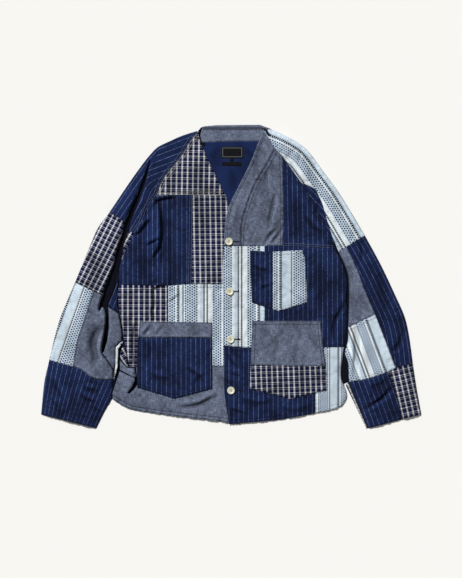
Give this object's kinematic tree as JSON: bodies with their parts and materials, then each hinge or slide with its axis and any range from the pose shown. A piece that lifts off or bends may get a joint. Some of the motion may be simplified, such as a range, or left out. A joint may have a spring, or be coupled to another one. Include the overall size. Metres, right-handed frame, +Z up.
{
  "type": "patchwork jacket laid flat",
  "caption": "Collarless patchwork jacket with raglan sleeves, a V neck and patch pockets, buttoned and laid flat on its back.",
  "frame": {"origin": "middle of the jacket's outline, on the surface it lies on", "axes": "+Z up from the surface, +Y towards the neck, +X to the wearer's left"},
  "size_m": [0.9306, 0.7445, 0.0158],
  "materials": {
    "twill": "indigo cotton twill woven with thin broken pale stripes 12 mm apart",
    "check": "cream and navy cotton check, about 13 mm repeat",
    "dobby": "pale blue cotton dobby stripe with dotted navy and brown columns",
    "chambray": "slubby grey-blue cotton chambray",
    "plain": "plain navy cotton",
    "label": "woven black label, bare",
    "button": "ivory four-hole button with a raised rim"
  },
  "bodies": {
    "root": {"back_body": "plain", "back_neckband_chambray": "chambray", "back_neckband_rim_chambray": "chambray", "button_1": "button", "button_2": "button", "button_3": "button", "button_4": "button", "chest_pocket_dobby": "dobby", "chest_pocket_twill": "twill", "label_care": "label", "label_main": "label", "label_size": "label", "left_front_body_twill": "twill", "left_front_chest_chambray": "chambray", "left_front_chest_twill": "twill", "left_front_hem_twill": "twill", "left_front_neckband_chambray": "chambray", "left_front_placket_dobby": "dobby", "left_front_side_dobby": "dobby", "left_pocket_chambray": "chambray", "left_pocket_check": "check", "left_sleeve_back_twill": "twill", "left_sleeve_chambray": "chambray", "left_sleeve_cuff_check": "check", "left_sleeve_cuff_twill": "twill", "left_sleeve_edge_check": "check", "left_sleeve_front_twill": "twill", "left_sleeve_lower_dobby": "dobby", "left_sleeve_outer_twill": "twill", "left_sleeve_top_dobby": "dobby", "right_front_centre_check": "check", "right_front_chest_twill": "twill", "right_front_hem_chambray": "chambray", "right_front_side_check": "check", "right_front_waist_dobby": "dobby", "right_front_yoke_check": "check", "right_pocket_band_chambray": "chambray", "right_pocket_twill": "twill", "right_side_chambray": "chambray", "right_side_chambray_turned": "chambray", "right_side_check_turned": "check", "right_side_dobby": "dobby", "right_side_twill": "twill", "right_sleeve_back_twill": "twill", "right_sleeve_chambray": "chambray", "right_sleeve_check": "check", "right_sleeve_check_inner": "check", "right_sleeve_cuff_twill": "twill", "right_sleeve_dobby": "dobby", "right_sleeve_top_twill": "twill"}
  },
  "joints": []
}
